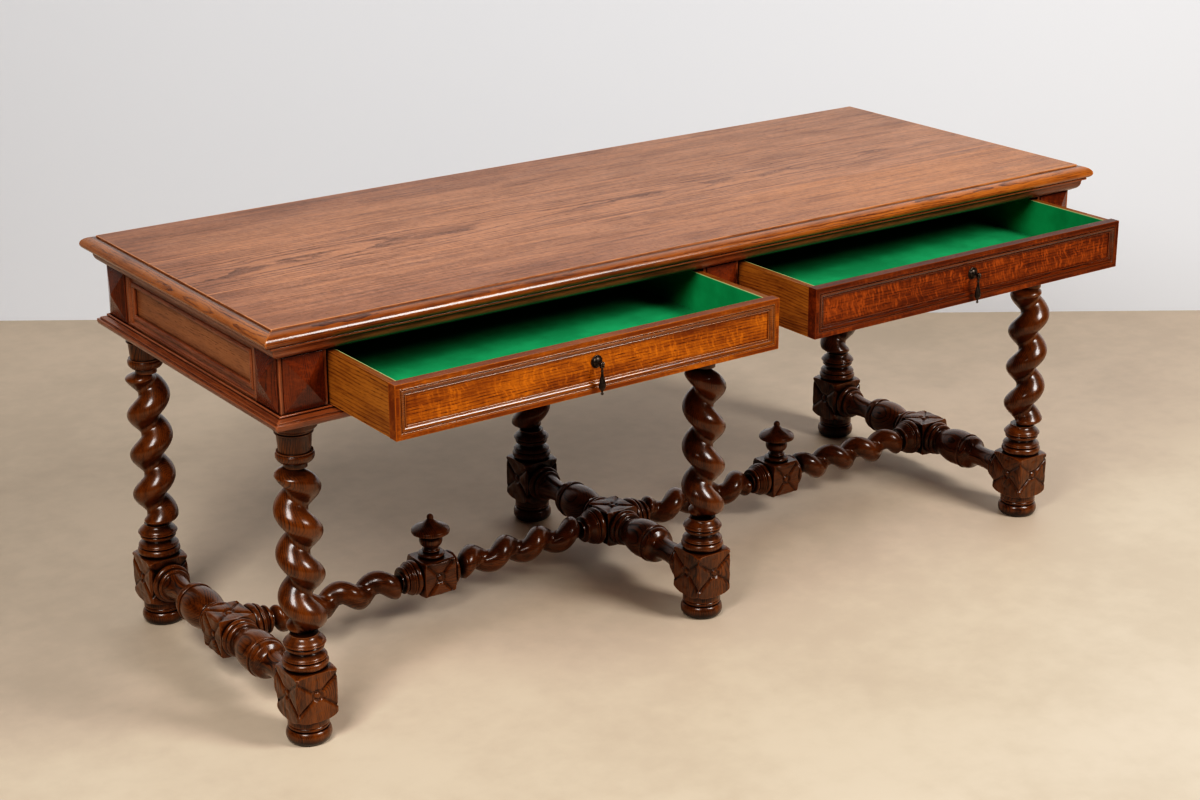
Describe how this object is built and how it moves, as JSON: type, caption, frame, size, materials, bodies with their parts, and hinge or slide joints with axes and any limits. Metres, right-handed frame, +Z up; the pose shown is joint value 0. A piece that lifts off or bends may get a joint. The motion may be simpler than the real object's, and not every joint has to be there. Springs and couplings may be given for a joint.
{
  "type": "library table",
  "caption": "Long rectangular table on barley-twist legs joined by turned and twisted stretchers with finials, with felt-lined drawers under a moulded top.",
  "frame": {"origin": "floor level under the middle of the table's stored box, with the drawers standing open as in the picture; the middle of the table top lies 99.5 mm behind it in +Y", "axes": "+X along the table from the left end to the right end as seen from the drawer side, +Y from the drawer side to the back, +Z up"},
  "size_m": [1.866, 0.929, 0.76],
  "materials": {
    "top_oak": "waxed, worn at the arrises",
    "frieze_oak": "polished dark brown",
    "boss_oak": "polished red-brown",
    "leg_oak": "glossy polished dark red-brown",
    "left_front_oak": "polished golden figured oak",
    "right_front_oak": "polished red-brown figured oak",
    "case_oak": "bare golden-brown oak",
    "green_felt": "felt",
    "dark_bronze": "dark patinated bronze"
  },
  "bodies": {
    "table_frame": {"top_board_front": "top_oak", "top_board_middle": "top_oak", "top_board_back": "top_oak", "top_edge_front": "top_oak", "top_edge_back": "top_oak", "top_edge_left": "top_oak", "top_edge_right": "top_oak", "cornice_front": "frieze_oak", "cornice_back": "frieze_oak", "cornice_left": "frieze_oak", "cornice_right": "frieze_oak", "corner_post_fl": "frieze_oak", "corner_post_fr": "frieze_oak", "corner_post_bl": "frieze_oak", "corner_post_br": "frieze_oak", "centre_post_front": "frieze_oak", "centre_post_back": "frieze_oak", "diamond_bosses": "boss_oak", "end_panel_left": "frieze_oak", "end_panel_right": "frieze_oak", "end_mouldings": "frieze_oak", "back_panels": "frieze_oak", "back_mouldings": "frieze_oak", "upper_rail": "frieze_oak", "lower_rail": "frieze_oak", "base_moulding_front": "frieze_oak", "base_moulding_back": "frieze_oak", "base_moulding_left": "frieze_oak", "base_moulding_right": "frieze_oak", "centre_partition": "case_oak", "drawer_runners": "case_oak", "leg_fl": "leg_oak", "leg_fr": "leg_oak", "leg_bl": "leg_oak", "leg_br": "leg_oak", "leg_mf": "leg_oak", "leg_mb": "leg_oak", "cross_stretcher_left": "leg_oak", "cross_stretcher_middle": "leg_oak", "cross_stretcher_right": "leg_oak", "long_stretcher_left": "leg_oak", "long_stretcher_right": "leg_oak", "finials": "leg_oak"},
    "drawer_left": {"left_drawer_front": "left_front_oak", "left_front_moulding": "left_front_oak", "left_drawer_sides": "case_oak", "left_drawer_back": "case_oak", "left_drawer_bottom": "case_oak", "left_drawer_lining": "green_felt", "left_pull_rosette": "dark_bronze"},
    "drawer_right": {"right_drawer_front": "right_front_oak", "right_front_moulding": "right_front_oak", "right_drawer_sides": "case_oak", "right_drawer_back": "case_oak", "right_drawer_bottom": "case_oak", "right_drawer_lining": "green_felt", "right_pull_rosette": "dark_bronze"},
    "drop_left": {"left_pull_drop": "dark_bronze"},
    "drop_right": {"right_pull_drop": "dark_bronze"}
  },
  "joints": [
    {"name": "left_drawer_slide", "type": "slide", "parent": "table_frame", "child": "drawer_left", "axis": [0, -1, 0], "range_m": [-0.214, 0.186]},
    {"name": "right_drawer_slide", "type": "slide", "parent": "table_frame", "child": "drawer_right", "axis": [0, -1, 0], "range_m": [-0.214, 0.186]},
    {"name": "left_drop_hinge", "type": "hinge", "parent": "drawer_left", "child": "drop_left", "pos_m": [-0.425, -0.4595, 0.6655], "axis": [-1, 0, 0], "range_deg": [0, 80]},
    {"name": "right_drop_hinge", "type": "hinge", "parent": "drawer_right", "child": "drop_right", "pos_m": [0.425, -0.4595, 0.6655], "axis": [-1, 0, 0], "range_deg": [0, 80]}
  ]
}
